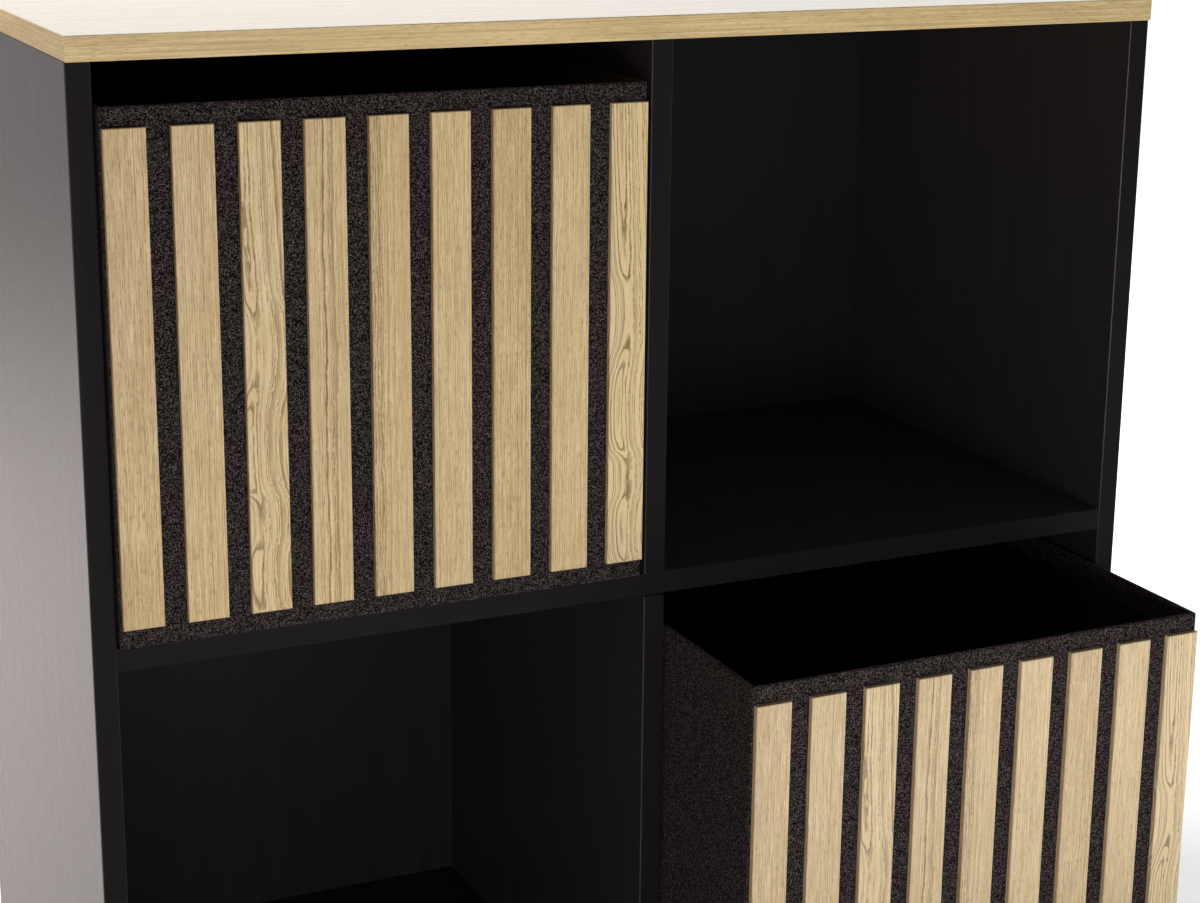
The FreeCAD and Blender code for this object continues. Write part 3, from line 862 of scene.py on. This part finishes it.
def white_floor():
    """Matt white paper, faintly mottled. It glows a little where it is seen, and most far from the
    unit, so that it shows white where no shadow falls. The glow is warm in mirror images."""
    mat, tree, shader = material("white floor", Roughness=0.8, Specular_IOR_Level=0.2)
    place = own_place(tree)
    mottle = noise(tree, place, (2, 2, 2), 0.0, 3.0)
    dull, bright = (0.86, 0.86, 0.86, 1), (0.89, 0.89, 0.89, 1)
    tree.links.new(blended(tree, mottle, dull, bright), shader["Base Color"])
    distance = add(tree, "VectorMath", {0: place}, operation="LENGTH").outputs["Value"]
    direct = add(tree, "LightPath").outputs["Is Camera Ray"]
    warm, white = (1, 0.9, 0.875, 1), (1, 1, 1, 1)
    tree.links.new(blended(tree, direct, warm, white), shader["Emission Color"])
    glow = calc(tree, "MULTIPLY", direct, between(tree, distance, 0.6, 2.6, 0.0, 0.5))
    glow = calc(tree, "MULTIPLY_ADD", seen_directly(tree), 0.5, glow)
    tree.links.new(glow, shader["Emission Strength"])
    return mat


corners = [(x * FLOOR_HALF, y * FLOOR_HALF, FLOOR_LEVEL) for x, y in ((-1, -1), (1, -1), (1, 1), (-1, 1))]
floor_mesh = bpy.data.meshes.new("floor")
floor_mesh.from_pydata(corners, [], [(0, 1, 2, 3)])
floor = placed("floor", floor_mesh)
floor.data.materials.append(white_floor())

world = bpy.data.worlds.new("white room")
bpy.context.scene.world = world
world.use_nodes = True
tree = world.node_tree
tree.nodes.clear()
plain = add(tree, "Background", {"Color": (1, 1, 1, 1), "Strength": ROOM_LIGHT}).outputs[0]
white = add(tree, "Background", {"Color": (1, 1, 1, 1), "Strength": 1.0}).outputs[0]
mixed = add(tree, "MixShader", {0: seen_directly(tree), 1: plain, 2: white}).outputs[0]
add(tree, "OutputWorld", {"Surface": mixed})


def lamp(name, place, aim, width, height, power, colour=(1, 1, 1), mirrored=True):
    """A soft rectangular lamp that faces a point. Those that light only the floor stay out of
    mirror images."""
    light = bpy.data.lights.new(name, "AREA")
    light.color = colour
    light.shape, light.size, light.size_y, light.energy = "RECTANGLE", width, height, power
    made = placed(name, light)
    made.visible_camera, made.visible_glossy = False, mirrored
    back = np.array(place, float) - np.array(aim, float)
    back /= np.linalg.norm(back)
    right = np.cross((0, 0, 1), back)
    right /= np.linalg.norm(right)
    turn = np.stack([right, np.cross(back, right), back], -1)
    made.matrix_world = Matrix.Translation(place) @ Matrix(turn.tolist()).to_4x4()


# The low lamp faces straight up, but for a hair that settles which way its sides run.
lamp("front lamp", (-0.45, -1.75, 0.32), (0, -0.2, 0.4), 1.0, 0.4, 13.9)
lamp("low lamp", (0.5, -0.83, 0.03), (0.5, -0.8301, 1.0), 0.95, 0.54, 4.4)
lamp("top lamp", (0.1, 0.7, 2.6), (0, 0.1, 0.7), 1.8, 1.4, 7.2)
lamp("left floor lamp", (-0.95, 1.05, 1.6), (-0.9, 1.0, 0), 0.8, 0.8, 37, WARM, mirrored=False)
lamp("right floor lamp", (1.9, 1.6, 1.5), (1.8, 1.5, 0), 0.8, 0.8, 16, mirrored=False)
lamp("back lamp", (0.3, 2.4, 2.0), (0, 0.2, 0.4), 2.0, 0.8, 9)


# The camera.
# Left of the middle, a little above the top, looking down into the cubes from close by.

SENSOR, LENS, SHIFT = 36.0, 70.5, -0.04
PLACE = (-0.6648, -1.5133, 0.888)
TURN, TILT, ROLL = math.radians(25.12), math.radians(14.67), math.radians(0.555)
camera = placed("camera", bpy.data.cameras.new("camera"))
camera.data.sensor_width, camera.data.lens, camera.data.shift_y = SENSOR, LENS, SHIFT
camera.data.clip_start, camera.data.clip_end = 0.05, 60.0
heading = Matrix.Rotation(-TURN, 4, "Z") @ Matrix.Rotation(math.pi / 2 - TILT, 4, "X")
heading = heading @ Matrix.Rotation(ROLL, 4, "Z")
camera.matrix_world = Matrix.Translation(PLACE) @ heading
bpy.context.scene.camera = camera
bpy.context.scene.view_settings.view_transform = "Standard"
